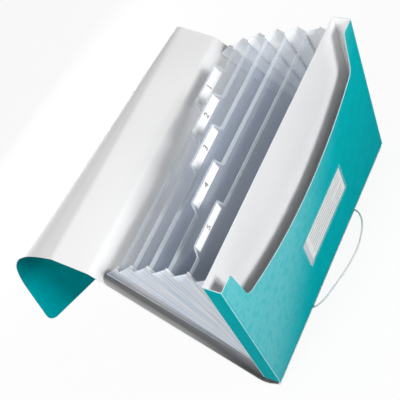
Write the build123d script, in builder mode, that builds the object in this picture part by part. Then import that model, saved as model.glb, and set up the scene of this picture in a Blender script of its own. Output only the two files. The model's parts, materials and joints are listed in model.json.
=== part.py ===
"""An accordion file folder in sheet plastic, standing open like a fan with its flap thrown back.

Seven leaves stand in a fan: the back cover, five dividers and the front pocket's inner wall. Pleated films join
their ends, so there are six pockets. X runs along the folder, the front faces -Y and +Z is up. Sizes are in
millimetres and degrees.
"""

import os
from math import atan2, cos, degrees, hypot, radians, sin

from build123d import *

# the folder's overall sizes: the covers are as wide as the front's cut-out, its sloping sides and the two ears
cutout_width = 278
cutout_flare = 6
ear_width = 20
cutout_top_width = cutout_width + 2 * cutout_flare
cover_width = cutout_top_width + 2 * ear_width
back_height = 234
front_height = 229
pocket_depth = 21
cover_sheet = 0.8

# the fan of leaves: how far the outer two lean, and where the lower edges sit
leaf_gaps = 6
back_lean = 6
front_lean = 35
leaf_pitch = 3.0
leaf_step = 1.0
front_foot_y = 2.0
front_foot_z = 17.0
base_front_y = -9
heel_radius = 12
spine_gap = 0.4
spine_clearance = 0.6
heel_clearance = 1.3

# the dividers and their staggered tabs
divider_sheet = 0.4
leaf_margin = 14
divider_width = cover_width - 2 * leaf_margin
divider_height = 216
divider_foot = 0.3
tab_width = 62
tab_height = 13
tab_slope = 4
tab_round = 2.5
tab_far_margin = 32
tab_near_margin = 20
tab_pitch = (divider_width - tab_far_margin - tab_near_margin - tab_width) / (leaf_gaps - 2)
first_tab_x = divider_width / 2 - tab_far_margin - tab_width / 2
tab_label_margin = 2
tab_label_sheet = 0.2

# the pleated films at the two ends
film = 0.3
pleat_foot = 5
pleat_top = 219
pleat_angle = 65
pleat_setback = 0.25
film_clearance = 0.4
ridge_share = 0.82

# the front pocket's cut-out and its label
cutout_side_height = 174
cutout_middle_height = 148
cutout_round = 9
ear_round = 3
sleeve_width = 108
sleeve_height = 48
sleeve_x = 11
sleeve_foot = 54
sleeve_rim = 3
sleeve_film = 0.3
card_sheet = 0.3
card_clearance = 0.3

# the flap: a strip that covers the top, then a panel that bends away in a cone when it hangs open
flap_top_depth = 46
flap_drop = 212
flap_flare = 10
flap_corner = 12
flap_lean = 43
flap_bend = 115
fold_count = 3
bend_near = 134
bend_far = 12
crease_clearance = 0.5
fold_clearance = 0.2

# the elastic cord and the two crimps that hold its ends
cord_diameter = 2.0
cord_bend = 7
crimp_x = 69
crimp_width = 8
crimp_depth = 9
crimp_wall = 0.8
cord_grip = 5

os.makedirs("parts", exist_ok=True)


def save(part, label):
    """Name a finished piece and write it to its own file."""
    part.label = label
    export_step(part, f"parts/{label}.step")


def sheet(label, plane, outline, low, high):
    """Cut a flat sheet to a straight-edged outline, between two heights above its plane."""
    with BuildPart() as piece:
        with BuildSketch(plane.offset(low)):
            with BuildLine():
                Polyline(*outline, close=True)
            make_face()
        extrude(amount=high - low)
    save(piece.part, label)


def rectangle(x_low, x_high, y_low, y_high):
    """The four corners of an upright rectangle."""
    return [(x_low, y_low), (x_high, y_low), (x_high, y_high), (x_low, y_high)]


def leaf_lean(k):
    """How far leaf k leans forward: 0 is the back cover, the last is the front."""
    return (back_lean + front_lean) * k / leaf_gaps - back_lean


def leaf_plane(k):
    """The middle of leaf k: x along the folder, y up the leaf and z out of its front side."""
    behind = leaf_gaps - k
    lean = radians(leaf_lean(k))
    foot = (0, front_foot_y + leaf_pitch * behind, front_foot_z - leaf_step * behind)
    return Plane(origin=foot, x_dir=(1, 0, 0), z_dir=(0, -cos(lean), -sin(lean)))


# The back cover is one sheet: a panel, a rounded heel and the base strip that the folder stands on.
half_width = cover_width / 2
back = leaf_plane(0)
back_outside = back.offset(-cover_sheet)
back_normal = back.z_dir
heel_reach = heel_radius - back_normal.Z * (heel_radius - back_outside.origin.Z)
heel_y = back_outside.origin.Y + heel_reach / back_normal.Y
heel_top = (heel_radius - heel_radius * back_normal.Z - back_outside.origin.Z) / back.y_dir.Z

sheet(
    "cover_back",
    back,
    rectangle(-half_width, half_width, heel_top, back_height - crease_clearance),
    -cover_sheet,
    0,
)

with BuildPart() as cover_heel:
    with BuildSketch(Plane.YZ.offset(-half_width)):
        with BuildLine():
            outer = CenterArc((heel_y, heel_radius), heel_radius, -90, 90 - back_lean)
            inner = CenterArc((heel_y, heel_radius), heel_radius - cover_sheet, -90, 90 - back_lean)
            Line(outer @ 0, inner @ 0)
            Line(outer @ 1, inner @ 1)
        make_face()
    extrude(amount=cover_width)
save(cover_heel.part, "cover_heel")

sheet(
    "cover_base",
    Plane.XY,
    rectangle(-half_width, half_width, base_front_y, heel_y),
    0,
    cover_sheet,
)

# The spine strip runs from the back cover under the leaves' lower edges, out to the front pocket.
front = leaf_plane(leaf_gaps)
spine_length = hypot(leaf_pitch, leaf_step) * leaf_gaps
spine_angle = degrees(atan2(leaf_step, leaf_pitch))
spine_plane = Plane(
    origin=front.origin,
    x_dir=(1, 0, 0),
    z_dir=(0, sin(radians(spine_angle)), cos(radians(spine_angle))),
)
sheet(
    "spine_strip",
    spine_plane,
    rectangle(-divider_width / 2, divider_width / 2, spine_clearance, spine_length - heel_clearance),
    -spine_gap - cover_sheet,
    -spine_gap,
)

# The front pocket is a shallow box: an inner wall, a floor, two ends and a face with a long cut-out.
sheet(
    "front_panel",
    front,
    rectangle(-half_width, half_width, cover_sheet, front_height),
    0,
    cover_sheet,
)
sheet(
    "pocket_floor",
    front,
    rectangle(-half_width, half_width, 0, cover_sheet),
    0,
    pocket_depth,
)
for side, x_low in (("left", -half_width), ("right", half_width - cover_sheet)):
    sheet(
        f"pocket_end_{side}",
        front,
        rectangle(x_low, x_low + cover_sheet, cover_sheet, front_height),
        cover_sheet,
        pocket_depth - cover_sheet,
    )

face_plane = front.offset(pocket_depth)
with BuildPart() as pocket_face:
    with BuildSketch(face_plane) as face:
        with BuildLine():
            lip = ThreePointArc(
                (-cutout_width / 2, cutout_side_height),
                (0, cutout_middle_height),
                (cutout_width / 2, cutout_side_height),
            )
            Polyline(
                lip @ 0,
                (-cutout_top_width / 2, front_height),
                (-half_width, front_height),
                (-half_width, cover_sheet),
                (half_width, cover_sheet),
                (half_width, front_height),
                (cutout_top_width / 2, front_height),
                lip @ 1,
            )
        make_face()
        inside = face.vertices().filter_by_position(Axis.X, -half_width + 1, half_width - 1)
        lower = inside.filter_by(lambda v: abs(abs(v.X) - cutout_width / 2) < 0.01)
        fillet(lower, cutout_round)
        inside = face.vertices().filter_by_position(Axis.X, -half_width + 1, half_width - 1)
        ears = inside.filter_by(lambda v: abs(abs(v.X) - cutout_top_width / 2) < 0.01)
        fillet(ears, ear_round)
    extrude(amount=-cover_sheet)
save(pocket_face.part, "pocket_face")

# A clear sleeve on the face is open at its left end, and a card slides into it.
sleeve_cavity = card_sheet + card_clearance
sleeve_left = sleeve_x - sleeve_width / 2
sleeve_right = sleeve_x + sleeve_width / 2
card_height = sleeve_height - 2 * (sleeve_rim + card_clearance)
card_right = sleeve_right - sleeve_rim - card_clearance
with BuildPart() as label_sleeve:
    with BuildSketch(face_plane):
        with BuildLine():
            Polyline(
                *rectangle(sleeve_left, sleeve_right, sleeve_foot, sleeve_foot + sleeve_height),
                close=True,
            )
        make_face()
    extrude(amount=sleeve_cavity + sleeve_film)
    with BuildSketch(face_plane):
        with BuildLine():
            Polyline(
                *rectangle(
                    sleeve_left - 1,
                    sleeve_right - sleeve_rim,
                    sleeve_foot + sleeve_rim,
                    sleeve_foot + sleeve_height - sleeve_rim,
                ),
                close=True,
            )
        make_face()
    extrude(amount=sleeve_cavity, mode=Mode.SUBTRACT)
save(label_sleeve.part, "label_sleeve")

card_foot = sleeve_foot + sleeve_rim + card_clearance
sheet(
    "label_card",
    face_plane,
    rectangle(sleeve_left, card_right, card_foot, card_foot + card_height),
    0,
    card_sheet,
)

# Five clear dividers, each with a tab one step further along than the one behind it.
half_divider = divider_width / 2
for k in range(1, leaf_gaps):
    tab_x = first_tab_x - tab_pitch * (k - 1)
    tab_root = tab_width / 2
    tab_tip = tab_root - tab_slope
    tab_top = divider_height + tab_height
    with BuildPart() as divider:
        with BuildSketch(leaf_plane(k).offset(-divider_sheet / 2)):
            with BuildLine():
                FilletPolyline(
                    (-half_divider, divider_foot),
                    (half_divider, divider_foot),
                    (half_divider, divider_height),
                    (tab_x + tab_root, divider_height),
                    (tab_x + tab_tip, tab_top),
                    (tab_x - tab_tip, tab_top),
                    (tab_x - tab_root, divider_height),
                    (-half_divider, divider_height),
                    radius=tab_round,
                    close=True,
                )
            make_face()
        extrude(amount=divider_sheet)
    save(divider.part, f"divider_{k}")
    label_half = tab_tip - tab_label_margin
    sheet(
        f"tab_label_{k}",
        leaf_plane(k),
        rectangle(
            tab_x - label_half,
            tab_x + label_half,
            divider_height,
            tab_top - tab_label_margin,
        ),
        divider_sheet / 2,
        divider_sheet / 2 + tab_label_sheet,
    )


def pleat_reach(leaf, middle, height):
    """Width of a pleat's film at a height up its leaf, a share of the way to the plane midway to the next leaf."""
    start = leaf.origin + leaf.y_dir * height
    normal = leaf.z_dir
    distance = abs((middle.origin - start).dot(middle.z_dir) / normal.dot(middle.z_dir))
    return (distance * ridge_share - pleat_setback) / sin(radians(pleat_angle))


# Each pocket has a pleat at both ends: one film from the leaf behind and one from the leaf in front, which meet
# in an outward ridge midway between the two.
pleat_axes = {}
for k in range(leaf_gaps):
    middle = leaf_plane(k + 0.5)
    for end_name, end in (("left", -1), ("right", 1)):
        for film_name, leaf, toward in (("a", leaf_plane(k), 1), ("b", leaf_plane(k + 1), -1)):
            along = Vector(end, 0, 0) * cos(radians(pleat_angle))
            across = leaf.z_dir * toward * sin(radians(pleat_angle))
            edge = leaf.origin + Vector(end, 0, 0) * (half_divider + film_clearance)
            edge = edge + leaf.z_dir * (toward * pleat_setback)
            direction = along + across
            plane = Plane(origin=edge, x_dir=direction, z_dir=direction.cross(leaf.y_dir))
            label = f"pleat_{end_name}_{k + 1}{film_name}"
            sheet(
                label,
                plane,
                [
                    (0, pleat_foot),
                    (pleat_reach(leaf, middle, pleat_foot), pleat_foot),
                    (pleat_reach(leaf, middle, pleat_top), pleat_top),
                    (0, pleat_top),
                ],
                -film / 2,
                film / 2,
            )
            pleat_axes[label] = (edge, leaf.y_dir * (end * toward))


def turned(plane, axis, angle):
    """A plane carried round an axis."""
    spin = Axis((0, 0, 0), axis.direction)
    origin = axis.position + (plane.origin - axis.position).rotate(spin, angle)
    return Plane(
        origin=origin,
        x_dir=plane.x_dir.rotate(spin, angle),
        z_dir=plane.z_dir.rotate(spin, angle),
    )


def flap_half(reach):
    """Half the flap's width at a distance from the back cover's top edge."""
    return half_width + flap_flare * max(0, reach - flap_top_depth) / flap_drop


def fold_line(index, shift):
    """The two ends of a fold, left and right, on the flat flap, moved along the flap by a shift."""
    part_way = index / (fold_count - 1)
    left = flap_top_depth + bend_near * part_way + shift
    right = flap_top_depth + bend_far * part_way + shift
    return (-flap_half(left), left), (flap_half(right), right)


# The flap is one sheet too. It is drawn flat, and each stretch is then carried round the folds before it.
flap_hinge = back.offset(-cover_sheet / 2)
flap_hinge = Plane(
    origin=flap_hinge.origin + flap_hinge.y_dir * back_height,
    x_dir=(1, 0, 0),
    z_dir=(0, -cos(radians(flap_lean)), sin(radians(flap_lean))),
)
half_sheet = cover_sheet / 2
sheet(
    "flap_top",
    flap_hinge,
    rectangle(-half_width, half_width, crease_clearance, flap_top_depth - crease_clearance),
    -half_sheet,
    half_sheet,
)

fold_axes = []
stretch = flap_hinge
for j in range(fold_count):
    left, right = fold_line(j, 0)
    start = stretch.from_local_coords(Vector(*left, 0))
    finish = stretch.from_local_coords(Vector(*right, 0))
    axis = Axis(start, finish - start)
    fold_axes.append(axis)
    stretch = turned(stretch, axis, -flap_bend / fold_count)
    near_clearance = crease_clearance if j == 0 else fold_clearance
    low_left, low_right = fold_line(j, near_clearance)
    if j < fold_count - 1:
        high_left, high_right = fold_line(j + 1, -fold_clearance)
        sheet(
            f"flap_bend_{j + 1}",
            stretch,
            [low_left, low_right, high_right, high_left],
            -half_sheet,
            half_sheet,
        )
    else:
        end = flap_top_depth + flap_drop
        with BuildPart() as flap_front:
            with BuildSketch(stretch.offset(-half_sheet)) as panel:
                with BuildLine():
                    Polyline(
                        low_left,
                        low_right,
                        (flap_half(end), end),
                        (-flap_half(end), end),
                        close=True,
                    )
                make_face()
                fillet(panel.vertices().group_by(Axis.Y)[-1], flap_corner)
            extrude(amount=cover_sheet)
        save(flap_front.part, "flap_front")

# The elastic cord lies on the floor in front of the base, with its ends in two crimps on the base strip.
cord_radius = cord_diameter / 2
over_base = cover_sheet + crimp_wall + cord_radius
on_floor = cord_radius
crimp_front = base_front_y + 3
cord_route = [
    (crimp_x, crimp_front + cord_grip, over_base),
    (crimp_x, crimp_front, over_base),
    (crimp_x - 1.5, base_front_y - 12.5, over_base - 0.4),
    (crimp_x - 8, base_front_y - 18, on_floor + 0.4),
    (crimp_x - 19, base_front_y - 25, on_floor),
    (crimp_x - 31, base_front_y - 31, on_floor),
    (crimp_x - 52, base_front_y - 36.5, on_floor),
    (-crimp_x + 67, base_front_y - 36, on_floor),
    (-crimp_x + 47, base_front_y - 30.5, on_floor),
    (-crimp_x + 27, base_front_y - 22, on_floor),
    (-crimp_x + 10, base_front_y - 16, on_floor + 0.4),
    (-crimp_x + 1.5, base_front_y - 12, over_base - 0.4),
    (-crimp_x, crimp_front, over_base),
    (-crimp_x, crimp_front + cord_grip, over_base),
]
with BuildPart() as elastic_cord:
    with BuildLine() as route:
        FilletPolyline(*cord_route, radius=cord_bend)
    with BuildSketch(Plane(origin=cord_route[0], z_dir=(0, -1, 0))):
        Circle(cord_radius)
    sweep(path=route.wires()[0])
save(elastic_cord.part, "elastic_cord")

crimp_height = cord_diameter + 2 * crimp_wall
for side, x in (("left", -crimp_x), ("right", crimp_x)):
    with BuildPart() as crimp:
        with BuildSketch(Plane.XY.offset(cover_sheet)):
            with Locations((x, crimp_front + crimp_depth / 2)):
                Rectangle(crimp_width, crimp_depth)
        extrude(amount=crimp_height)
        fillet(crimp.edges().filter_by(Axis.Y).group_by(Axis.Z)[-1], crimp_wall)
        with BuildSketch(Plane(origin=(x, crimp_front, over_base), z_dir=(0, 1, 0))):
            Circle(cord_radius)
        extrude(amount=cord_grip, mode=Mode.SUBTRACT)
    save(crimp.part, f"elastic_crimp_{side}")


def report(name, position, direction):
    """Print where an axis lies and which way it points."""
    numbers = [*position, *direction]
    print(name, *(f"{n:.6f}" for n in numbers))


for k in range(1, leaf_gaps + 1):
    report(f"leaf_{k}", leaf_plane(k).origin, Vector(-1, 0, 0))
for label, (edge, direction) in pleat_axes.items():
    report(label, edge, direction)
report("flap_hinge", flap_hinge.origin, Vector(1, 0, 0))
for j, axis in enumerate(fold_axes):
    report(f"fold_{j + 1}", axis.position, axis.direction)
report("label_slide", face_plane.origin, Vector(-1, 0, 0))
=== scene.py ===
# %% [markdown]
# # An accordion file folder in sheet plastic
#
# The real folder is a handful of plastic sheets that are cut, scored, folded and welded. The imported model
# gives the place of every piece and joint. Its sheets are drawn again here as smooth surfaces, each a grid
# of points from a short formula. The front pocket's sheets, the welds, the dividers, the numbers, the label's
# lines and the cord ride on the imported bodies; the cover, the flap and the pleats are fixed in place. X
# runs along the folder, the front faces -Y and +Z is up. Sizes are in metres.

# %% Load the frame
import json

import bmesh
import bpy
import numpy as np
from mathutils import Matrix, Vector


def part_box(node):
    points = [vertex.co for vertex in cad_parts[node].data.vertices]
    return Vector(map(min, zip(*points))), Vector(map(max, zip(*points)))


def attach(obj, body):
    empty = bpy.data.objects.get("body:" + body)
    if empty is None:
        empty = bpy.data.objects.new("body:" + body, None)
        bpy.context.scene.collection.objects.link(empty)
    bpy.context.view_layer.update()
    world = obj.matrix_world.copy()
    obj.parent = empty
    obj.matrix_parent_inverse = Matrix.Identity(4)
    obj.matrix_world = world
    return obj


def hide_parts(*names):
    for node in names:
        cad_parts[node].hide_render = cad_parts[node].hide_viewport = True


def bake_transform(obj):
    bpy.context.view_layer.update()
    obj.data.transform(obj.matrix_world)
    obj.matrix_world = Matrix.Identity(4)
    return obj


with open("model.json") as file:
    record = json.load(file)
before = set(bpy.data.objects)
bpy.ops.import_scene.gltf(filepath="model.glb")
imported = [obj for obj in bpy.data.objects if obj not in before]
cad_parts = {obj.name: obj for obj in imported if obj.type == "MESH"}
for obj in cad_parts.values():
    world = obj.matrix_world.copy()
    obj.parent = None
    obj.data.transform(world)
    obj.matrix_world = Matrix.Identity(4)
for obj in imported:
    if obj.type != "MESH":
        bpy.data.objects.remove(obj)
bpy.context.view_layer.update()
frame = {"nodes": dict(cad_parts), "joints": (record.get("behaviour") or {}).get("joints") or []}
joints = {joint["name"]: joint for joint in frame["joints"]}

# %% [markdown]
# ## The camera
#
# The folder is seen from its front left and from above, with the camera rolled so that the leaves point to
# the upper left. A camera could be aimed by hand until the picture looks right. Its place and turn were
# fitted to the corners of the covers instead, because a folder of known size then lands on the right spots
# by itself. The long lens keeps the two ends nearly the same size.


# %% The camera
def place_object(name, data):
    """A new object that holds the data, stands at the origin and is linked into the scene."""
    thing = bpy.data.objects.new(name, data)
    bpy.context.scene.collection.objects.link(thing)
    return thing


camera_data = bpy.data.cameras.new("camera")
camera_data.lens = 80.895
camera_data.sensor_width = 36.0
camera = place_object("camera", camera_data)
camera.location = (-0.40496, -0.83131, 0.56910)
camera.rotation_euler = np.radians((54.67074, 47.83713, -51.52314))
bpy.context.scene.camera = camera
print("camera", tuple(camera.location), "lens", camera_data.lens)

# %% [markdown]
# ## The elastic cord
#
# A thin elastic leaves one crimp on the base strip, lies in a loose bow on the floor in front and goes into
# the other crimp. When the folder is shut it is pulled up over the flap. A mesh tube along sampled points
# would look like bent wire. A NURBS curve with a round bevel is used, because it glides past its control
# points in one smooth line and can be measured along the curve that is drawn.

# %% The elastic cord
cord_diameter = 0.002
cord_points = np.array([
    (69, -1, 2.6), (69, -6, 2.6), (66, -17, 2.2), (58.5, -26.5, 1.4), (49, -34, 1), (37, -40, 1),
    (17, -45.5, 1), (-2, -45, 1), (-22, -39.5, 1), (-42, -31.5, 1), (-57, -25.5, 1.4), (-66, -17.5, 2.2),
    (-69, -6, 2.6), (-69, -1, 2.6),
]) / 1000
cord_curve = bpy.data.curves.new("elastic", "CURVE")
cord_curve.dimensions = "3D"
cord_curve.bevel_depth = cord_diameter / 2
cord_curve.bevel_resolution = 4
cord_curve.use_fill_caps = True
cord_curve.resolution_u = 12
cord_spline = cord_curve.splines.new("NURBS")
cord_spline.points.add(len(cord_points) - 1)
cord_spline.points.foreach_set("co", np.column_stack([cord_points, np.ones(len(cord_points))]).ravel())
cord_spline.order_u = 3
cord_spline.use_endpoint_u = True
elastic = place_object("elastic", cord_curve)

# %% [markdown]
# ## Shader helpers
#
# Every finish is drawn by shader nodes on the piece's own coordinates, so it has no image that could blur
# or slide. Nodes can be added and wired one by one, but then the idea of a finish is lost among repeated
# lines. These helpers say each wish once: add a node with its inputs filled, take a noise, turn a value
# into a colour, ease a value from one level to another, and use a value as fine relief.


# %% Nodes
def fill(tree, node, inputs):
    """Each named input of a node is linked where a socket is given and set where a value is given."""
    for key, value in inputs.items():
        if isinstance(value, bpy.types.NodeSocket):
            tree.links.new(value, node.inputs[key])
        else:
            node.inputs[key].default_value = value


def add(tree, kind, inputs, **settings):
    """A new shader node with its settings made first and its inputs filled after."""
    node = tree.nodes.new("ShaderNode" + kind)
    for name, value in settings.items():
        setattr(node, name, value)
    fill(tree, node, inputs)
    return node


def new_material(name):
    """A material, its node tree and its one shader, which Blender has already linked to the output."""
    material = bpy.data.materials.new(name)
    material.use_nodes = True
    return material, material.node_tree, material.node_tree.nodes["Principled BSDF"]


print("node helpers", [helper.__name__ for helper in (fill, add, new_material)])


# %% Patterns
def noise(tree, scale, detail=2.0, stretch=(1.0, 1.0, 1.0)):
    """A noise over the object's own coordinates, finer with a high scale and drawn out by a low stretch."""
    place = add(tree, "TexCoord", {}).outputs["Object"]
    spread = add(tree, "Mapping", {"Vector": place, "Scale": stretch}).outputs["Vector"]
    return add(tree, "TexNoise", {"Vector": spread, "Scale": scale, "Detail": detail}).outputs["Fac"]


def distance_along(tree, way):
    """How far a point lies along a direction: the dot product of its coordinates and the direction."""
    place = add(tree, "TexCoord", {}).outputs["Object"]
    return add(tree, "VectorMath", {0: place, 1: way}, operation="DOT_PRODUCT").outputs["Value"]


def ramp(tree, value, stops):
    """A value turned into a colour between the given (place, colour) stops."""
    node = add(tree, "ValToRGB", {"Fac": value})
    for place, _ in stops[2:]:
        node.color_ramp.elements.new(place)
    for element, (place, colour) in zip(node.color_ramp.elements, stops):
        element.position = place
        element.color = (*colour, 1.0)
    return node.outputs["Color"]


def eased(tree, value, start, full, low=0.0, high=1.0, curve="SMOOTHSTEP"):
    """The low level up to the start, the high level from full on, and a smooth or straight way between."""
    inputs = {"Value": value, "From Min": start, "From Max": full, "To Min": low, "To Max": high}
    return add(tree, "MapRange", inputs, interpolation_type=curve).outputs["Result"]


def mixed(tree, share, first, second):
    """The first colour where the share is 0, the second where it is 1, and a blend between."""
    return add(tree, "Mix", {"Factor": share, "A": first, "B": second}, data_type="RGBA").outputs["Result"]


def bump(tree, height, shader, strength, distance):
    """A height value as fine relief on the shader."""
    inputs = {"Height": height, "Strength": strength, "Distance": distance}
    fill(tree, shader, {"Normal": add(tree, "Bump", inputs).outputs["Normal"]})


print("patterns", [pattern.__name__ for pattern in (noise, distance_along, ramp, eased, mixed, bump)])

# %% [markdown]
# ## Sheet plastic
#
# Nearly all of the folder is polypropylene sheet: two near tones in soft mottles where the sheet was
# pressed, a fine grain and an even gloss. Each finish could have a node tree of its own. One function is
# used instead, because covers, clear sheets, paper and cord differ only in colour, gloss, grain and in how
# much light they let through.

# %% Sheet plastic
plastic_ior = 1.49
mottle_detail = 3.0
mottle_edges = (0.35, 0.65)
grain_scale = 1800.0
grain_height = 0.0002
glow_depth = (0.001, 0.001, 0.001)


def plastic(
    name, low, high, roughness, mottle, alpha=1.0, grain=0.12, specular=0.5, glow=0.0, stretch=(1, 1, 1),
):
    """Two near colours in noise mottles, a finer noise as relief, an even gloss and light from behind."""
    material, tree, shader = new_material(name)
    mottles = noise(tree, mottle, mottle_detail, stretch)
    fill(tree, shader, {
        "Base Color": ramp(tree, mottles, list(zip(mottle_edges, (low, high)))),
        "Roughness": roughness,
        "IOR": plastic_ior,
        "Alpha": alpha,
        "Specular IOR Level": specular,
        "Subsurface Weight": glow,
        "Subsurface Radius": glow_depth,
        "Subsurface Scale": 1.0,
    })
    bump(tree, noise(tree, grain_scale, 1.0), shader, grain, grain_height)
    print("finish", name, "between", low, "and", high)
    return material


teal_tones = (0.000, 0.412, 0.460), (0.000, 0.457, 0.505)
teal = plastic("teal_sheet", *teal_tones, roughness=0.45, mottle=70.0, specular=0.004)
white_side = plastic("white_side", (0.81, 0.81, 0.81), (0.83, 0.83, 0.83), 0.45, mottle=12.0, specular=0.25)
sheet_edge = plastic("sheet_edge", (0.52, 0.70, 0.71), (0.60, 0.77, 0.78), 0.4, mottle=90.0, specular=0.2)

# %% [markdown]
# ## Sheets as grids of points
#
# A folded sheet could be a thin surface with a Solidify modifier. Here each sheet is a grid of middle
# points. Its two sides lie half the thickness away along the grid's normal, and a rim joins them. So each
# sheet is a closed thin solid of the true thickness, and its front, its back, its cut edge and its creases
# can each have a finish of their own.


# %% The faces of a sheet
def grid_cells(rows, columns):
    """The point numbers of a grid, rows by columns, and the four corners of each of its cells."""
    index = np.arange(rows * columns).reshape(rows, columns)
    corners = [index[:-1, :-1], index[:-1, 1:], index[1:, 1:], index[1:, :-1]]
    return index, np.stack(corners, axis=-1).reshape(-1, 4)


def closed_faces(rows, columns):
    """The faces of a closed sheet whose front points come first, with its back points after them.

    The cells are the front, the same cells turned round are the back, and quads between the two outer rings
    are the rim.
    """
    index, cells = grid_cells(rows, columns)
    ring = np.concatenate([index[0, :-1], index[:-1, -1], index[-1, :0:-1], index[:0:-1, 0]])
    after = np.roll(ring, -1)
    rim = np.stack([ring, ring + index.size, after + index.size, after], axis=-1)
    return np.concatenate([cells, cells[:, ::-1] + index.size, rim])


def face_finishes(rows, columns, strip_cells, seams):
    """Which finish each face takes: 0 the front's, 1 the back's, 2 the rim's, 3 the strip's.

    Marked cells take the strip's on both sides. A seam is an end row, first 0 or last -1, whose rim runs on
    in the next sheet: it takes the back's finish, so that no edge shows there.
    """
    cells = (rows - 1) * (columns - 1)
    finishes = np.repeat([0, 1, 2], [cells, cells, 2 * (rows + columns - 2)])
    for row in seams:
        start = 2 * cells + (0 if row == 0 else columns + rows - 2)
        finishes[start : start + columns - 1] = 1
    if strip_cells is not None:
        marked = np.broadcast_to(strip_cells, (rows - 1, columns - 1)).ravel()
        finishes[: 2 * cells][np.tile(marked, 2)] = 3
    return finishes


print("3 by 4 points give", len(grid_cells(3, 4)[1]), "cells and", len(closed_faces(3, 4)), "sheet faces")

# %% A sheet
sharp_turn = np.radians(40)


def sheet(
    name, middle, thickness, front_side, back_side, edge,
    strip=None, strip_cells=None, layout=None, seams=(),
):
    """A closed sheet round a grid of middle points, rows by columns.

    The normal at a point is the cross product of the grid's two directions there. The front is the middle
    plus half the thickness times the normal, and the back is the middle minus it. A layout gives each point
    its flat place.
    """
    rows, columns = middle.shape[:2]
    normal = np.cross(np.gradient(middle, axis=1), np.gradient(middle, axis=0))
    normal /= np.linalg.norm(normal, axis=2, keepdims=True)
    offset = normal * thickness / 2
    points = np.concatenate([middle + offset, middle - offset]).reshape(-1, 3)
    faces = closed_faces(rows, columns)
    mesh = bpy.data.meshes.new(name)
    mesh.vertices.add(len(points))
    mesh.vertices.foreach_set("co", points.ravel())
    mesh.loops.add(faces.size)
    mesh.loops.foreach_set("vertex_index", faces.ravel())
    mesh.polygons.add(len(faces))
    mesh.polygons.foreach_set("loop_start", np.arange(0, faces.size, 4))
    mesh.polygons.foreach_set("material_index", face_finishes(rows, columns, strip_cells, seams))
    mesh.update(calc_edges=True)
    mesh.set_sharp_from_angle(angle=sharp_turn)
    if layout is not None:
        flat_places = layout.reshape(-1, 2)[faces.ravel() % (rows * columns)]
        mesh.uv_layers.new(name="layout").data.foreach_set("uv", flat_places.astype(np.float32).ravel())
    for material in (front_side, back_side, edge, strip or edge):
        mesh.materials.append(material)
    return place_object(name, mesh)


def round_corner(before, corner, after, count):
    """Points on the parabola that starts at one point, ends at another and heads for the corner between."""
    t = np.linspace(0, 1, count)[:, None]
    return (1 - t) ** 2 * before + 2 * t * (1 - t) * corner + t**2 * after


print("a corner rounded with three points", round_corner(*np.eye(3), count=3).round(2).tolist())

# %% [markdown]
# ## The fan of leaves
#
# Leaf 0 is the back cover, leaves 1 to 5 are the dividers and leaf 6 is the front pocket's inner wall. On
# the real folder they stand on one spine and spread evenly. Each could be an object that is turned into
# place, but then its pattern would turn with it. Here every leaf has a foot, a way up and a way out of its
# front, and points are worked out on it directly.

# %% The leaves
leaf_count = 6
back_lean, front_lean = 6.0, 35.0
front_foot = np.array([0, 0.002, 0.017])
foot_step = np.array([0, 0.003, -0.001])
x_axis = np.array([1.0, 0.0, 0.0])


def leaf(k):
    """The foot, the way up and the way out of leaf k, whose lean grows evenly with k; k may be a fraction."""
    lean = np.radians((back_lean + front_lean) * k / leaf_count - back_lean)
    foot = front_foot + foot_step * (leaf_count - k)
    return foot, np.array([0, -np.sin(lean), np.cos(lean)]), np.array([0, -np.cos(lean), -np.sin(lean)])


def on_leaf(k, x, up, out):
    """Points of a leaf: its foot plus x along the folder, plus up the leaf, plus out of its front."""
    foot, up_axis, out_axis = leaf(k)
    x, up, out = np.broadcast_arrays(x, up, out)
    return foot + x[..., None] * x_axis + up[..., None] * up_axis + out[..., None] * out_axis


print("leaf feet", [np.round(leaf(k)[0], 4).tolist() for k in range(leaf_count + 1)])

# %% [markdown]
# ## The back cover
#
# One sheet, teal outside and white inside, runs from the base strip round the heel, up the back and over
# the top edge to the flap. Flat panels with a gap at each fold would show where they part. The sheet is
# drawn as one profile, with an arc at the heel and a round turn at the top edge, carried straight along X.

# %% The cover's heel
cover_half = 0.165
sheet_thickness = 0.0008
half_sheet = sheet_thickness / 2
heel_radius = 0.0116
base_front = -0.009
back_foot, back_up, back_out = leaf(0)
panel_start = back_foot - back_out * sheet_thickness / 2
corner = panel_start + back_up * (half_sheet - panel_start[2]) / back_up[2]
heel_reach = heel_radius * np.tan(np.radians((90 - back_lean) / 2))
heel_foot = corner - np.array([0, heel_reach, 0])
heel_centre = heel_foot + np.array([0, 0, heel_radius])
heel_turn = np.radians(np.linspace(-90, -back_lean, 15)[1:-1, None])
heel = heel_centre + heel_radius * np.column_stack([heel_turn * 0, np.cos(heel_turn), np.sin(heel_turn)])
base_line = np.linspace(np.array([0, base_front, half_sheet]), heel_foot, 6)
print("heel from", np.round(heel[0], 4), "to", np.round(heel[-1], 4))

# %% The cover's profile
hinge = np.array(joints["flap_hinge"]["pos_m"])
strip_lean = np.radians(43.0)
strip_up = np.array([0, np.sin(strip_lean), np.cos(strip_lean)])
bend_half = 0.0035
strip_middle = 0.023
panel = np.linspace(corner + back_up * heel_reach, hinge - back_up * bend_half, 24)
over_top = round_corner(panel[-1], hinge, hinge + strip_up * bend_half, count=9)[1:]
strip = np.linspace(hinge + strip_up * bend_half, hinge + strip_up * strip_middle, 5)[1:]
profile = np.concatenate([base_line, heel, panel, over_top, strip])
print("cover profile", len(profile), "points")

# %% The cover sheet
cover_x = np.linspace(-cover_half, cover_half, 23)
cover_grid = profile[:, None, :] + cover_x[None, :, None] * x_axis
cover = sheet("cover_sheet", cover_grid, sheet_thickness, white_side, teal, sheet_edge)
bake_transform(cover)
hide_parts("cover_back", "cover_heel", "cover_base")
print("cover grid", cover_grid.shape)

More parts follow.
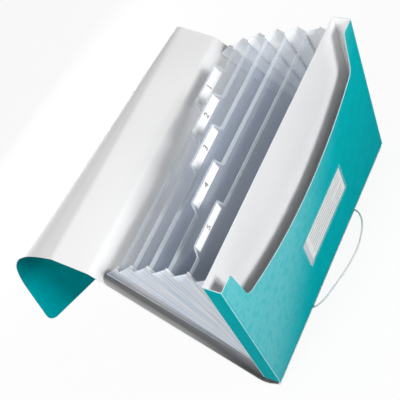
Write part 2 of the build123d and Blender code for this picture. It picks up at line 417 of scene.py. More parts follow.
# %% [markdown]
# ## The flap
#
# The flap is the same sheet beyond the hinge: a flat strip, a crease, and a panel that hangs open in a
# cone, with a wide bend at the near end and a tight one, close to the crease, at the far end. A cloth
# simulation could find such a bend, but its shape couldn't be set by hand. A sheet bends only about
# straight lines, so the flap is built as its maker would bend it: a flat frame is carried from one ruling
# to the next and turned about each by a small angle.

# %% The flap's flat shape
flap_top_depth = 0.046
flap_drop = 0.212
flap_flare = 0.010
flap_corner = 0.012
flap_end = flap_top_depth + flap_drop


def flap_side(reach):
    """Half the flap's width at a reach from the hinge: a slow flare, then a quarter circle at the corner."""
    wide = cover_half + flap_flare * np.clip(reach - flap_top_depth, 0, None) / flap_drop
    into_corner = np.clip(reach - (flap_end - flap_corner), 0, flap_corner)
    return wide - (flap_corner - np.sqrt(np.clip(flap_corner**2 - into_corner**2, 0, None)))


print("flap half width", flap_side(flap_top_depth), "growing to", flap_side(flap_end - flap_corner))

# %% The flap's rulings
crease = flap_top_depth
crease_half = 0.0035
crease_turn, cone_turn = 23.0, 92.0
cone_near = (crease + 0.014, crease + 0.151)
cone_far = (crease + 0.004, crease + 0.0135)
last_ruling = flap_end - 1e-5


def ruled_run(near, far, count, angle, ease=1.0):
    """Rulings from one line to another, each with its near and far reach and the turn in degrees it adds.

    The share of the way is 1 - (1 - t) ** ease, so an ease above 1 closes the rulings up toward the end.
    """
    t = 1 - (1 - np.linspace(0, 1, count + 1)[1:]) ** ease
    return np.column_stack([
        near[0] + (near[1] - near[0]) * t, far[0] + (far[1] - far[0]) * t, np.full(count, angle / count),
    ])


flat_strip = (strip_middle, crease - crease_half)
fold = (crease - crease_half, crease + crease_half)
rulings = np.concatenate([
    [[strip_middle, strip_middle, 0.0]],
    ruled_run(flat_strip, flat_strip, 3, 0.0),
    ruled_run(fold, fold, 7, crease_turn),
    ruled_run((fold[1], cone_near[0]), (fold[1], cone_far[0]), 2, 0.0),
    ruled_run(cone_near, cone_far, 56, cone_turn),
    ruled_run((cone_near[1], last_ruling), (cone_far[1], last_ruling), 22, 0.0, ease=2.2),
])
print("rulings", len(rulings), "turning", rulings[:, 2].sum(), "degrees in all")


# %% The flap's surface
def turned(points, axis_point, axis, angle):
    """Points turned about a line: the part along the axis stays, and the rest turns by the angle."""
    offset = points - axis_point
    along = (offset @ axis)[..., None] * axis
    return axis_point + along + (offset - along) * np.cos(angle) + np.cross(axis, offset) * np.sin(angle)


def flap_rows(lines, columns=41):
    """The flap's grid: each row is a straight ruling, and the flat frame turns about each ruling in order."""
    frame_points = np.array([hinge, hinge + x_axis, hinge + strip_up])
    share = np.linspace(0, 1, columns)[:, None]
    rows = []
    for near, far, angle in lines:
        origin = frame_points[0]
        along, up = frame_points[1:] - origin
        start = origin - along * flap_side(near) + up * near
        finish = origin + along * flap_side(far) + up * far
        axis = (finish - start) / np.linalg.norm(finish - start)
        rows.append(start + share * (finish - start))
        frame_points = turned(frame_points, start, axis, -np.radians(angle))
    return np.array(rows)


flap_grid = flap_rows(rulings)
print("flap grid", flap_grid.shape, "lowest", np.round(flap_grid.min(axis=(0, 1)), 4))

# %% The flap's pieces
first_cut_reach, second_cut_reach = 0.0335, 0.1005
bend_zone = 0.014
near_reach = rulings[:, 0] - crease
cut_1 = int(np.argmin(abs(near_reach - first_cut_reach)))
cut_2 = int(np.argmin(abs(near_reach - second_cut_reach)))
last = len(rulings) - 1
bend_solids = ("flap_bend_1", "flap_bend_2")
flap_parts = [
    ("flap_strip", 0, cut_1, "flap_top", "flap_bend_1", "flap_crease", crease_half, ("flap_top",)),
    ("flap_bend", cut_1, cut_2, "flap_bend_1", "flap_bend_2", "flap_bend_2_fold", bend_zone, bend_solids),
    ("flap_panel", cut_2, last, "flap_bend_2", "flap_front", "flap_front_fold", bend_zone, ("flap_front",)),
]
for name, first_row, last_row, body_a, body_b, joint, half_zone, solids in flap_parts:
    rows = flap_grid[first_row : last_row + 1]
    seams = (0,) if last_row == last else (0, -1)
    piece = sheet(name, rows, sheet_thickness, white_side, teal, sheet_edge, seams=seams)
    centre, axis = np.array(joints[joint]["pos_m"]), np.array(joints[joint]["axis"])
    way = rows[-1, 0] - rows[0, 0]
    way = way - axis * (way @ axis)
    way /= np.linalg.norm(way)
    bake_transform(piece)
    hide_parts(*solids)
    print(name, len(rows), "rows from", np.round(rows[0, 0], 3), "to", np.round(rows[-1, 0], 3))

# %% [markdown]
# ## The front pocket's finishes
#
# The pocket's face is the same teal sheet, but toward its near upper corner it carries a painted reflection:
# a paler tint that stands in for a lamp's sheen and breaks up into small drops. It could be a gloss that
# changes with the view, but then it would slide from picture to picture. It is painted as a paler tint that
# grows along one direction over the face and is thinned by a fine noise. The upright folds are paler as well:
# a painted highlight along each fold, where a scored plastic sheet also whitens.

# %% The face's painted sheen
painted_sheen_way = (-0.619, -0.450, 0.643)
painted_sheen_start, painted_sheen_full = 0.061, 0.161
painted_sheen_tint = (0.13, 0.56, 0.61, 1)
drop_scale = 130.0
drop_edges = (0.38, 0.50)
drop_low = 0.72
teal_face_painted_sheen = plastic("teal_face_painted_sheen", *teal_tones, roughness=0.45, mottle=70.0, specular=0.004)
tree = teal_face_painted_sheen.node_tree
shader = tree.nodes["Principled BSDF"]
plain_teal = shader.inputs["Base Color"].links[0].from_socket
# Painted reflection: the paler tint grows along one way over the face, where a lamp's sheen would lie.
painted_sheen_mask = eased(tree, distance_along(tree, painted_sheen_way), painted_sheen_start, painted_sheen_full)
drops = eased(tree, noise(tree, drop_scale, 1.0), *drop_edges, low=drop_low, curve="LINEAR")
painted_sheen_share = add(tree, "Math", {0: painted_sheen_mask, 1: drops}, operation="MULTIPLY").outputs["Value"]
fill(tree, shader, {"Base Color": mixed(tree, painted_sheen_share, plain_teal, painted_sheen_tint)})
# Painted highlight: a paler teal for the upright folds, where a scored sheet also whitens.
teal_fold_highlight = plastic("teal_fold_highlight", (0.30, 0.64, 0.67), (0.38, 0.71, 0.74), 0.4, mottle=90.0, specular=0.2)
print("painted_sheen face nodes", len(tree.nodes))

# %% [markdown]
# ## The pocket's face and floor
#
# The face and the floor are one sheet with a rounded lower fold, and the top edge follows a long cut-out
# between two ears. The cut-out could be a boolean cut, but that leaves long thin faces. Here the edge is
# drawn first, as an arc with rounded corners, and every column of the grid runs from the floor straight up
# to its own point of that edge.

# %% The cut-out's edge
pocket_depth = 0.021
front_height = 0.229
fold_radius = 0.0016
face_half = cover_half - fold_radius
lip_middle, lip_side_x, lip_side, ear_x = 0.148, 0.139, 0.174, 0.145
lip_round, side_round, ear_round = 0.008, 0.009, 0.003
lip_rise = lip_side - lip_middle
lip_radius = (lip_side_x**2 + lip_rise**2) / (2 * lip_rise)
lip_x = np.linspace(0, lip_side_x - lip_round, 30)
lip = np.column_stack([lip_x, lip_middle + lip_radius - np.sqrt(lip_radius**2 - lip_x**2)])
side_way = np.array([ear_x - lip_side_x, front_height - lip_side])
side_way /= np.linalg.norm(side_way)
side_low = np.array([lip_side_x, lip_side])
side_high = np.array([ear_x, front_height])
inner_corner = round_corner(lip[-1], side_low, side_low + side_way * side_round, count=12)[1:]
ear_end = side_high + np.array([ear_round, 0])
ear_corner = round_corner(side_high - side_way * ear_round, side_high, ear_end, count=7)
ear_top = np.column_stack([np.linspace(ear_corner[-1, 0], face_half, 4)[1:], np.full(3, front_height)])
half_edge = np.concatenate([lip, inner_corner, ear_corner, ear_top])
edge = np.concatenate([half_edge[:0:-1] * (-1, 1), half_edge])
print("cut-out edge", len(edge), "points, lowest", round(float(edge[:, 1].min()), 4))

# %% The face and the floor
floor_start = 0.001
face_inset = 0.00006
face_out = pocket_depth - half_sheet
floor_out = np.linspace(floor_start, pocket_depth - fold_radius, 5)
floor_line = np.column_stack([floor_out, np.full(5, half_sheet)])
fold_corner = np.array([face_out, half_sheet])
fold_end = np.array([face_out, half_sheet + fold_radius])
low_fold = round_corner(floor_line[-1], fold_corner, fold_end, count=7)[1:]
low_out = np.concatenate([floor_line, low_fold])
rise = np.linspace(0, 1, 26)[1:, None]
up_rows = low_out[-1, 1] + rise * (edge[:, 1] - low_out[-1, 1])
up_grid = np.concatenate([np.repeat(low_out[:, 1:], len(edge), axis=1), up_rows])
out_grid = np.concatenate([low_out[:, :1], np.full((len(rise), 1), face_out)]) - face_inset
face_grid = on_leaf(leaf_count, edge[None, :, 0], up_grid, out_grid)
face = sheet("pocket_face_and_floor", face_grid, sheet_thickness, teal_face_painted_sheen, white_side, sheet_edge)
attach(face, "front")
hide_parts("pocket_face", "pocket_floor")
print("face grid", face_grid.shape)

# %% [markdown]
# ## The pocket's end walls
#
# Each end of the pocket is closed by a narrow wall that turns round the upright fold and meets the face
# flush. The wall could be a flat strip with a sharp corner, but a folded sheet always has a round there,
# and it catches the light. So the wall is a path seen from above, straight and then round, carried up the
# leaf. The middle cells of the round take the paler fold finish: a painted highlight along the fold, where a
# scored sheet also whitens.

# %% The end walls
wall_foot, wall_start = 0.0002, 0.0009
fold_cell_numbers = (7, 8, 9)
wall_up = np.linspace(wall_foot, front_height, 14)[:, None]
walls = [("pocket_wall_left", "pocket_end_left", -1), ("pocket_wall_right", "pocket_end_right", 1)]
for name, node, side in walls:
    wall_x = side * (cover_half - half_sheet)
    straight = np.column_stack([np.full(6, wall_x), np.linspace(wall_start, pocket_depth - fold_radius, 6)])
    round_end = np.array([side * face_half, face_out])
    turn_in = round_corner(straight[-1], np.array([wall_x, face_out]), round_end, count=8)[1:]
    path = np.concatenate([straight, turn_in])[::-side]
    wall_grid = on_leaf(leaf_count, path[None, :, 0], wall_up, path[None, :, 1])
    fold_cells = np.isin(np.arange(len(path) - 1), fold_cell_numbers)[::-side]
    wall = sheet(name, wall_grid, sheet_thickness, teal, white_side, sheet_edge, teal_fold_highlight, fold_cells)
    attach(wall, "front")
    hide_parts(node)
    print(name, wall_grid.shape)

# %% [markdown]
# ## The pleats' film
#
# The pleated ends are a thin milky film with pale streaks that run from the fold to the ridge and close up
# toward the foot; the streaks are a real relief, and their paler colour is a painted reflection. Streaks in
# object coordinates would cut across the pleats, so they follow the film's own flat layout, a UV map. On the
# outside the film is darkened beside the back cover, a painted shade for the narrow gap where its layers lie
# on each other, and inside it is darkened much less. The distance from the first ridge tells how near the
# cover a point is.

# %% The pleats' film
streak_scale = (7.0, 2.0, 1.0)
painted_reflection_edges = (0.34, 0.60)
painted_shade_lead, painted_shade_reach = 0.00054, 0.015
painted_shade_foot, _, painted_shade_way = leaf(0.5)
painted_shade_start = painted_shade_foot @ painted_shade_way - painted_shade_lead
painted_shade_end = painted_shade_start + painted_shade_reach


def film_material(name, low, high, painted_shade_low):
    """Noise streaks of two colours along the layout, their paler tone a painted reflection, and painted shade
    beside the cover that dims them down to the given low share.
    """
    material, tree, shader = new_material(name)
    flat_place = add(tree, "UVMap", {}, uv_map="layout").outputs["UV"]
    spread = add(tree, "Mapping", {"Vector": flat_place, "Scale": streak_scale}).outputs["Vector"]
    streaks = add(tree, "TexNoise", {"Vector": spread, "Scale": 1.0, "Detail": 3.0}).outputs["Fac"]
    # Painted reflection: the streaks' paler tone stands in for reflections on the wavy film.
    tone = ramp(tree, streaks, list(zip(painted_reflection_edges, (low, high))))
    # Painted shade: the film darkens toward the cover, for the narrow gap where its layers lie on each other.
    painted_shade_factor = eased(tree, distance_along(tree, painted_shade_way), painted_shade_start, painted_shade_end, low=painted_shade_low)
    dimmed = add(tree, "VectorMath", {0: tone, "Scale": painted_shade_factor}, operation="SCALE").outputs["Vector"]
    fill(tree, shader, {
        "Base Color": dimmed,
        "Roughness": 0.22,
        "IOR": plastic_ior,
        "Alpha": 0.92,
        "Subsurface Weight": 0.25,
        "Subsurface Radius": glow_depth,
        "Subsurface Scale": 1.0,
    })
    bump(tree, streaks, shader, strength=0.25, distance=0.0006)
    print("film", name, "painted_shade_low", painted_shade_low)
    return material


film = film_material("pleat_film", (0.54, 0.69, 0.95), (0.96, 0.98, 1.0), painted_shade_low=0.33)
film_inside = film_material("pleat_film_inside", (0.82, 0.87, 0.93), (0.98, 0.99, 1.0), painted_shade_low=0.8)
# Painted highlight: the folds, the ridge and the cut rim of the film take a paler, more opaque finish.
film_fold_highlight = plastic(
    "pleat_fold_highlight", (0.90, 0.94, 0.99), (0.95, 0.97, 0.99), 0.3, mottle=90.0, alpha=0.85, grain=0.04, glow=0.6,
)

# %% [markdown]
# ## The pleated ends
#
# At both ends every pocket has a pleat of two half films. Each is welded to its leaf along a narrow flange,
# turns round the leaf's edge and runs out to the ridge midway between two leaves. One long zigzag film
# couldn't follow the fan, since each half turns about its own leaf. So each half is its own sheet.

# %% One half of a pleat
leaf_half = 0.151
film_thickness = 0.0003
pleat_angle = np.radians(65.0)
pleat_turn = 0.0008
pleat_gap = 0.0004
pleat_edge = leaf_half + pleat_gap
pleat_low, pleat_high = 0.005, 0.219
pleat_up = np.linspace(pleat_low, pleat_high, 16)[:, None]
flange_width = 0.0025
ridge_share, ridge_fold = 0.985, 0.95
film_bow = 0.012
flange_layout = (-0.3, -0.05)
half_shift = 0.1
layout_height = 0.2


def ridge_reach(k, middle, up):
    """How far a leaf is, at each height, from the plane midway to its neighbour, along the leaf's way out."""
    foot, up_axis, out_axis = leaf(k)
    middle_foot, _, middle_out = leaf(middle)
    return abs(((middle_foot - foot) @ middle_out - up * (up_axis @ middle_out)) / (out_axis @ middle_out))


def pleat_film(name, k, middle, side, toward, flange):
    """One half of a pleat: a flange on the leaf, a small round turn, then a facet out to the ridge.

    The facet leaves the leaf at the pleat's angle, with a slight sine bow across it. Its layout runs from
    fold to ridge, so the film's streaks close up to the foot. The front side is the outside where side and
    toward differ in sign.
    """
    reach = (ridge_reach(k, middle, pleat_up) * ridge_share - flange) / np.sin(pleat_angle)
    out_x, out_n = np.cos(pleat_angle), np.sin(pleat_angle)
    flange_x = np.linspace(pleat_edge - flange_width, pleat_edge - pleat_turn, 4)
    turn_end = np.array([pleat_edge + out_x * pleat_turn, flange + out_n * pleat_turn])
    turn_in = round_corner(
        np.array([pleat_edge - pleat_turn, flange]), np.array([pleat_edge, flange]), turn_end, count=4,
    )[1:-1]
    along = pleat_turn + (reach - pleat_turn) * np.concatenate([np.linspace(0, ridge_fold, 12), [1.0]])
    bow = -film_bow * reach * np.sin(np.pi * along / reach)
    fixed_x = np.concatenate([flange_x, turn_in[:, 0]])
    fixed_n = np.concatenate([np.full(4, flange), turn_in[:, 1]])
    rows = (len(pleat_up), 1)
    x = np.concatenate([np.tile(fixed_x, rows), pleat_edge + out_x * along - out_n * bow], axis=1)
    n = np.concatenate([np.tile(fixed_n, rows), flange + out_n * along + out_x * bow], axis=1)
    # The turn's last two cells and the last cell of all, at the ridge, take the finish of a fold, a painted
    # highlight where the film also whitens.
    fold_cells = np.zeros(x.shape[1] - 1, bool)
    fold_cells[[4, 5, -1]] = True
    share = np.concatenate([np.linspace(*flange_layout, len(fixed_x)), np.linspace(0, 1, along.shape[1])])
    layout_x = share + k + toward * half_shift
    layout = np.stack(np.broadcast_arrays(layout_x, pleat_up / layout_height), axis=-1)
    grid = on_leaf(k, side * x, pleat_up, toward * n)
    front_side, back_side = (film, film_inside)[::-side * toward]
    return sheet(name, grid, film_thickness, front_side, back_side, film_fold_highlight, film_fold_highlight, fold_cells, layout)


print("first ridge", np.round(ridge_reach(0, 0.5, pleat_up[[0, -1], 0]), 4), "from the cover, low and high")

# %% All the pleats
cover_flange, divider_flange = 0.0004, 0.0005
for side, word in ((-1, "left"), (1, "right")):
    for k in range(leaf_count):
        for part, own, toward in (("a", k, 1), ("b", k + 1, -1)):
            node = f"pleat_{word}_{k + 1}{part}"
            flange = cover_flange if own in (0, leaf_count) else divider_flange
            piece = pleat_film(f"film_{word}_{k + 1}{part}", own, k + 0.5, side, toward, flange)
            foot, up_axis, out_axis = leaf(own)
            centre = foot + x_axis * side * pleat_edge + out_axis * toward * flange
            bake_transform(piece)
            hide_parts(node)
print("pleat films", 4 * leaf_count)

# %% [markdown]
# ## The welds on the back cover
#
# The first film is welded to the back cover in a margin along each end. The weld is pressed plastic and
# grey, and its tone also holds painted shade: darkest in a wavy line, for the gap beside the first film, and
# darker toward the foot. It could be painted on the cover's white side, but a margin has a rounded top and a
# thickness of its own. So it is a thin sheet that lies on the cover and follows it round the heel and along
# the base strip. Its tone runs across its layout, with a noise that makes the line wavy.

# %% The welds' film
weld_wave = 0.12
weld_noise_scale = 45.0
foot_shade_fade_start, foot_shade_fade_end = 0.05, 0.60
upper_weld_and_shade_stops = [
    (0.06, (0.50, 0.52, 0.54)), (0.30, (0.32, 0.33, 0.34)), (0.52, (0.22, 0.23, 0.23)),
    (0.64, (0.23, 0.23, 0.23)), (0.72, (0.36, 0.35, 0.34)), (1.0, (0.46, 0.45, 0.44)),
]
foot_weld_and_shade_stops = [
    (0.06, (0.46, 0.47, 0.48)), (0.35, (0.34, 0.35, 0.36)), (0.60, (0.20, 0.20, 0.21)),
    (0.80, (0.11, 0.11, 0.11)), (1.0, (0.13, 0.13, 0.13)),
]
weld_film_and_shade, tree, shader = new_material("pleat_weld_and_shade")
flat_place = add(tree, "UVMap", {}, uv_map="layout").outputs["UV"]
apart = add(tree, "SeparateXYZ", {"Vector": flat_place}).outputs
wavy_inputs = {0: noise(tree, weld_noise_scale), 1: weld_wave, 2: apart["X"]}
wavy = add(tree, "Math", wavy_inputs, operation="MULTIPLY_ADD").outputs["Value"]
height = eased(tree, apart["Y"], foot_shade_fade_start, foot_shade_fade_end)
# Painted shade: the tone is darkest in a wavy line beside the first film and darker toward the foot.
weld_tone_and_shade = mixed(tree, height, ramp(tree, wavy, foot_weld_and_shade_stops), ramp(tree, wavy, upper_weld_and_shade_stops))
fill(tree, shader, {"Base Color": weld_tone_and_shade, "Roughness": 0.3, "IOR": plastic_ior, "Alpha": 0.9})
print("weld stops", len(foot_weld_and_shade_stops), "low and", len(upper_weld_and_shade_stops), "high")

# %% The welds
weld_inner, weld_outer, weld_top, weld_corner = 0.1518, 0.1646, 0.2185, 0.0100
weld_flat = 0.0015
weld_thickness = 0.00016
weld_lift = 0.0001
weld_foot = 0.0004
weld_start = np.array([weld_inner, weld_top])
weld_end = np.array([weld_outer, weld_top - weld_corner])
weld_round = round_corner(weld_start + (weld_flat, 0), np.array([weld_outer, weld_top]), weld_end, count=9)
weld_edge = np.concatenate([weld_start[None], weld_round])
weld_up = weld_foot + np.linspace(0, 1, 12)[:, None] * (weld_edge[:, 1] - weld_foot)
low_line = np.concatenate([base_line[1:], heel])
heel_inward = (heel_centre - heel) / np.linalg.norm(heel_centre - heel, axis=1, keepdims=True)
inward = np.concatenate([np.tile((0.0, 0.0, 1.0), (len(base_line) - 1, 1)), heel_inward])
low_line = low_line + inward * (half_sheet + weld_lift)
low_run = np.concatenate([[0], np.cumsum(np.linalg.norm(np.diff(low_line, axis=0), axis=1))])
share_across = (weld_edge[:, 0] - weld_inner) / np.ptp(weld_edge[:, 0])
weld_run = np.concatenate([np.tile(low_run[:, None] - low_run[-1], len(weld_edge)), weld_up]) / layout_height
for side, word in ((-1, "left"), (1, "right")):
    weld_x = np.broadcast_to(side * weld_edge[:, 0], weld_up.shape)
    low_rows = low_line[:, None, :] + weld_x[:1, :, None] * x_axis
    weld_grid = np.concatenate([low_rows, on_leaf(0, weld_x, weld_up, weld_lift)])[:, ::side]
    layout = np.stack(np.broadcast_arrays(share_across, weld_run), axis=-1)[:, ::side]
    piece = sheet(f"weld_{word}", weld_grid, weld_thickness, weld_film_and_shade, weld_film_and_shade, weld_film_and_shade, layout=layout)
    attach(piece, "back")
    print("weld", word, weld_grid.shape)

# %% [markdown]
# ## The dividers
#
# Five clear sheets part the pockets. Each has a tab with sloping sides at a place of its own, and a
# brighter hem along its top edge: a real hem, painted paler partly as a highlight, with a near white painted
# highlight on its cut rim. The panes' banded tones are in part a painted reflection. A clear sheet could
# be a closed solid like the covers, but light passes only a few clear layers in a render, and ten of them
# go black. So each pane is one surface, and only its narrow hem is a closed sheet.

# %% The divider's edge
divider_height, tab_height, tab_half, tab_slope, tab_round = 0.216, 0.013, 0.031, 0.004, 0.0025
first_tab_x, tab_pitch = 0.088, 0.047
point_spacing = 0.012


def rounded_line(corners, radius, count=5):
    """A line of straight runs whose inner corners are rounded, starting and stopping a radius from each."""
    runs = np.diff(corners, axis=0)
    runs = runs / np.linalg.norm(runs, axis=1, keepdims=True)
    arcs = [
        round_corner(corner - before * radius, corner, corner + after * radius, count)
        for corner, before, after in zip(corners[1:-1], runs[:-1], runs[1:])
    ]
    return np.concatenate([corners[:1], *arcs, corners[-1:]])


def filled(line, spacing):
    """The same line with extra points, so that no run is longer along x than the spacing."""
    extra = np.arange(line[0, 0] + spacing, line[-1, 0], spacing)
    x = np.unique(np.round(np.concatenate([line[:, 0], extra]), 7))
    return np.column_stack([x, np.interp(x, line[:, 0], line[:, 1])])


def divider_edge(k):
    """The top edge of divider k: level, up the tab's slope, along the tab, down again and level again."""
    tab_x = first_tab_x - tab_pitch * (k - 1)
    tab_left, tab_right = tab_x - tab_half, tab_x + tab_half
    tab_top = divider_height + tab_height
    corners = np.array([
        (-leaf_half, divider_height), (tab_left, divider_height), (tab_left + tab_slope, tab_top),
        (tab_right - tab_slope, tab_top), (tab_right, divider_height), (leaf_half, divider_height),
    ])
    return filled(rounded_line(corners, tab_round), point_spacing)


print("points along the dividers' edges", [len(divider_edge(k)) for k in range(1, leaf_count)])

# %% The dividers
divider_foot = 0.0003
divider_thickness = 0.0004
divider_bow = 0.001
hem = 0.005
# Painted reflection: the panes' bands along the folder stand in part for reflections on the bowed sheets.
clear = plastic(
    "clear_sheet", (0.55, 0.70, 0.95), (0.92, 0.95, 1.0), 0.12, mottle=40.0, alpha=0.24, grain=0.03,
    stretch=(0.05, 1, 1),
)
# The hem is painted paler than the pane, partly as a highlight along the top edge.
clear_hem = plastic(
    "clear_hem", (0.78, 0.86, 0.94), (0.88, 0.93, 0.97), 0.15, mottle=14.0, alpha=0.3, grain=0.03,
)
# Painted highlight: the hem's cut rim is near white and nearly opaque.
clear_edge_highlight = plastic(
    "clear_edge_highlight", (0.88, 0.92, 0.96), (0.94, 0.97, 0.99), 0.2, mottle=40.0, alpha=0.8, grain=0.03,
)


def divider_grid(k, top_edge, low, high, rows):
    """A divider's middle points between two heights, with a sine bow that fades out at all four edges."""
    up = low + np.linspace(0, 1, rows)[:, None] * (high - low)
    bow_up = np.sin(np.pi * np.clip(up / divider_height, 0, 1))
    bow_along = np.cos(np.pi * top_edge[:, 0] / (2 * leaf_half))
    return on_leaf(k, top_edge[None, :, 0], up, divider_bow * bow_up * bow_along)


def pane_surface(name, middle, material):
    """A clear pane as one surface through a grid of points, rows by columns."""
    mesh = bpy.data.meshes.new(name)
    mesh.from_pydata(middle.reshape(-1, 3).tolist(), [], grid_cells(*middle.shape[:2])[1].tolist())
    mesh.shade_smooth()
    mesh.materials.append(material)
    return place_object(name, mesh)


for k in range(1, leaf_count):
    top_edge = divider_edge(k)
    hem_line = top_edge[:, 1] - hem
    pane = pane_surface(f"divider_pane_{k}", divider_grid(k, top_edge, divider_foot, hem_line, 16), clear)
    hem_grid = divider_grid(k, top_edge, hem_line, top_edge[:, 1], 3)
    rim = sheet(f"divider_hem_{k}", hem_grid, divider_thickness, clear_hem, clear_hem, clear_edge_highlight)
    for piece in (pane, rim):
        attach(piece, f"divider_{k}")
        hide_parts(f"divider_{k}")
    print("divider", k, "tab at", round(first_tab_x - tab_pitch * (k - 1), 3))

# %% [markdown]
# ## The flat pieces
#
# The pocket's inner wall, the spine strip, the crimps, the label sleeve, its card and the tab labels are
# flat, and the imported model's own solids already have their true shapes. They could be drawn again, but
# that would add nothing. They keep their meshes and only take their finishes: white sheet, clear film, and
# paper with a stronger grain.

# %% Finishes of the flat pieces
white = plastic("white_sheet", (0.77, 0.78, 0.79), (0.80, 0.81, 0.82), 0.45, mottle=12.0, specular=0.25)
sleeve_film = plastic(
    "sleeve_film", (0.84, 0.88, 0.90), (0.90, 0.93, 0.94), 0.12, mottle=30.0, alpha=0.1, grain=0.02,
)
paper = plastic("paper", (0.88, 0.88, 0.88), (0.91, 0.91, 0.91), 0.75, mottle=120.0, grain=0.2)
card_paper = plastic("card_paper", (0.84, 0.85, 0.85), (0.92, 0.93, 0.93), 0.6, mottle=120.0, grain=0.2)
flat_finishes = {
    "front_panel": white,
    "spine_strip": white,
    "elastic_crimp_left": white,
    "elastic_crimp_right": white,
    "label_sleeve": sleeve_film,
    "label_card": card_paper,
    **{f"tab_label_{k}": paper for k in range(1, leaf_count)},
}
for node, material in flat_finishes.items():
    finishes = frame["nodes"][node].data.materials
    finishes.clear()
    finishes.append(material)
print("flat pieces", len(flat_finishes))

# %% [markdown]
# ## The tab numbers
#
# Each tab's paper label carries a plain number from 1 to 5. A number could be painted by nodes, but a
# font's outline is sharper and it shows in the exported mesh too. Blender's text is turned into a mesh with
# the height of a print, doubled points are merged so that it is closed, and the mesh itself is moved onto
# the label.

# %% The tab numbers
number_size = 0.0105
number_lift = 0.00015
print_height = 0.00004
same_place = 1e-6
flat_turn = np.radians(1)
ink = plastic("ink", (0.06, 0.06, 0.07), (0.10, 0.10, 0.11), 0.6, mottle=200.0)


def number_mesh(body):
    """The mesh of a short text, centred, as thick as a print, with doubled points and flat faces joined."""
    text = bpy.data.curves.new("tab_number", "FONT")
    text.body = body
    text.size = number_size
    text.extrude = print_height / 2
    text.align_x = "CENTER"
    text.align_y = "CENTER"
    holder = place_object("tab_number_text", text)
    bpy.context.view_layer.update()
    mesh = bpy.data.meshes.new_from_object(holder)
    bpy.data.objects.remove(holder)
    work = bmesh.new()
    work.from_mesh(mesh)
    bmesh.ops.remove_doubles(work, verts=work.verts, dist=same_place)
    bmesh.ops.dissolve_limit(work, angle_limit=flat_turn, verts=work.verts, edges=work.edges)
    work.to_mesh(mesh)
    work.free()
    return mesh


for k in range(1, leaf_count):
    low, high = (np.array(v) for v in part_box(f"tab_label_{k}"))
    foot, up_axis, out_axis = leaf(k)
    mesh = number_mesh(str(k))
    place = np.eye(4)
    place[:3, :4] = np.column_stack([x_axis, up_axis, out_axis, (low + high) / 2 + out_axis * number_lift])
    mesh.transform(Matrix(place.tolist()))
    mesh.materials.clear()
    mesh.materials.append(ink)
    number = place_object(f"tab_number_{k}", mesh)
    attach(number, f"divider_{k}")
    print("number", k, "faces", len(mesh.polygons))

# %% [markdown]
# ## The label's lines and hem
#
# The card in the sleeve has printed lines to write on, and the sleeve has a clear hem at its open end.
# Lines could be stripes in the card's material, but as thin bars they stay sharp and come along in the
# export. All bars are made at once from a table with one row for each: left, right, low and high.

# %% The label's lines and hem
line_count = 7
line_left, line_right, short_line_right = -0.028, 0.056, 0.030
short_line = 3
first_line, last_line = 0.062, 0.094
line_height = 0.0010
card_lift, hem_lift = 0.00035, 0.00095
hem_box = np.array([[-0.043, -0.036, 0.0545, 0.1015]])
line_ink = plastic("line_ink", (0.30, 0.31, 0.31), (0.38, 0.39, 0.39), 0.6, mottle=200.0)


def thin_bars(name, boxes, out, material):
    """Thin closed bars on the front pocket's plane, one for each row of left, right, low and high.

    A bar's eight corners take every pairing of left or right, low or high, and inner or outer side.
    """
    x = np.repeat(boxes[:, :2], 4, axis=1)
    up = np.tile(np.repeat(boxes[:, 2:], 2, axis=1), 2)
    points = on_leaf(leaf_count, x, up, out + np.tile((-0.5, 0.5), 4) * print_height).reshape(-1, 3)
    sides = np.array([(1, 5, 7, 3), (0, 2, 6, 4), (4, 6, 7, 5), (0, 1, 3, 2), (2, 3, 7, 6), (0, 4, 5, 1)])
    faces = (sides + 8 * np.arange(len(boxes))[:, None, None]).reshape(-1, 4)
    mesh = bpy.data.meshes.new(name)
    mesh.from_pydata(points.tolist(), [], faces.tolist())
    mesh.materials.append(material)
    return place_object(name, mesh)


line_low = np.linspace(first_line, last_line, line_count)
line_ends = np.where(np.arange(line_count) == short_line, short_line_right, line_right)
boxes = np.column_stack([np.full(line_count, line_left), line_ends, line_low, line_low + line_height])
card_lines = thin_bars("card_lines", boxes, pocket_depth + card_lift, line_ink)
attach(card_lines, "label")
sleeve_hem = thin_bars("sleeve_hem", hem_box, pocket_depth + hem_lift, clear_hem)
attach(sleeve_hem, "front")
print("card lines", len(boxes))

# %% [markdown]
# ## The cord joins the folder
#
# The elastic is woven from fine threads. Real strands could be modelled, but at two millimetres they are
# finer than a picture shows, so a fine noise gives their grain. The cord rides on the back and stands for the
# imported model's cord.

# %% The cord joins the folder
woven = plastic("elastic", (0.58, 0.58, 0.58), (0.74, 0.74, 0.74), 0.7, mottle=900.0, grain=0.4)
elastic.data.materials.append(woven)
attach(elastic, "back")
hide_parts("elastic_cord")
print("cord leaves at", cord_points[1])

# %% [markdown]
# ## The floor
#
# The folder stands on a plain white floor. More light would make the floor white, but it would wash out the
# folder too. Instead the floor looks white only to rays from the camera and to rays that a gloss or a clear
# sheet passes on, and it sends little light back. A part of its own shading stays, so the folder's soft
# shadow still lies on it.


# %% The floor
def seen_as_backdrop(tree):
    """One where the camera, a gloss or a clear sheet sees the surface, and zero where it only gives light."""
    rays = add(tree, "LightPath", {}).outputs
    seen = rays["Is Camera Ray"]
    for other in ("Is Glossy Ray", "Is Transmission Ray"):
        seen = add(tree, "Math", {0: seen, 1: rays[other]}, operation="MAXIMUM").outputs["Value"]
    return seen


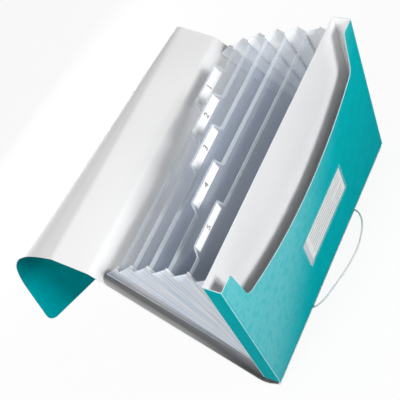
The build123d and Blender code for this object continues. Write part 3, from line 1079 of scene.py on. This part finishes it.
floor_reach = 9
floor_as_light = (0.12, 0.12, 0.12, 1)
floor_as_seen = (0.90, 0.90, 0.90, 1)
white_share = 0.93
floor_corners = np.array([(-1, -1, 0), (1, -1, 0), (1, 1, 0), (-1, 1, 0)]) * floor_reach
floor_mesh = bpy.data.meshes.new("floor")
floor_mesh.from_pydata(floor_corners.tolist(), [], [(0, 1, 2, 3)])
floor = place_object("floor", floor_mesh)
floor_material, tree, shader = new_material("floor")
seen = seen_as_backdrop(tree)
floor_colour = mixed(tree, seen, floor_as_light, floor_as_seen)
fill(tree, shader, {"Base Color": floor_colour, "Roughness": 0.9, "Specular IOR Level": 0.0})
glow = add(tree, "Emission", {"Color": (1, 1, 1, 1), "Strength": 1.0}).outputs["Emission"]
glow_share = add(tree, "Math", {0: seen, 1: white_share}, operation="MULTIPLY").outputs["Value"]
both = add(tree, "MixShader", {"Fac": glow_share, 1: shader.outputs["BSDF"], 2: glow}).outputs["Shader"]
fill(tree, tree.nodes["Material Output"], {"Surface": both})
floor_mesh.materials.append(floor_material)
print("floor", 2 * floor_reach, "metres wide")

# %% [markdown]
# ## The light
#
# The folder is lit as in a bright studio, with soft shadows and no hard glints. One sun lamp would leave
# hard edges, and a bright world alone would flatten the pleats. So the world gives a little light from all
# sides, and five large round panels shape the folder: a key from the near upper left, low ones in front and
# at the near side for the leaning face and the end wall, a weak one at the far side and one behind. The
# world looks white to the camera, as the floor does.

# %% The world
world_light, world_seen_more = 0.15, 0.85
world = bpy.data.worlds.new("studio")
bpy.context.scene.world = world
world.use_nodes = True
tree = world.node_tree
level_inputs = {0: seen_as_backdrop(tree), 1: world_seen_more, 2: world_light}
level = add(tree, "Math", level_inputs, operation="MULTIPLY_ADD").outputs["Value"]
fill(tree, tree.nodes["Background"], {"Color": (1.0, 1.0, 1.0, 1), "Strength": level})
print("world gives", world_light, "and looks", world_light + world_seen_more)

# %% The panels
aim = Vector((0, 0, 0.13))
panels = [
    ("key", (-1.3, -0.5, 1.4), 0.8, 15.5),
    ("front", (-0.12, -1.1, 0.19), 0.37, 10.5),
    ("side", (-1.75, -0.45, 0.35), 0.8, 7.5),
    ("far", (1.6, 0.1, 0.45), 0.8, 4),
    ("back", (0.5, 1.7, 0.7), 0.8, 16),
]
for name, place, size, power in panels:
    panel_data = bpy.data.lights.new(name, "AREA")
    panel_data.shape = "DISK"
    panel_data.size = size
    panel_data.energy = power
    light = place_object(name, panel_data)
    light.location = place
    light.visible_camera = False
    light.rotation_euler = (aim - Vector(place)).to_track_quat("-Z", "Y").to_euler()
    print("panel", name, power, "watts")
bpy.context.scene.view_settings.view_transform = "Standard"
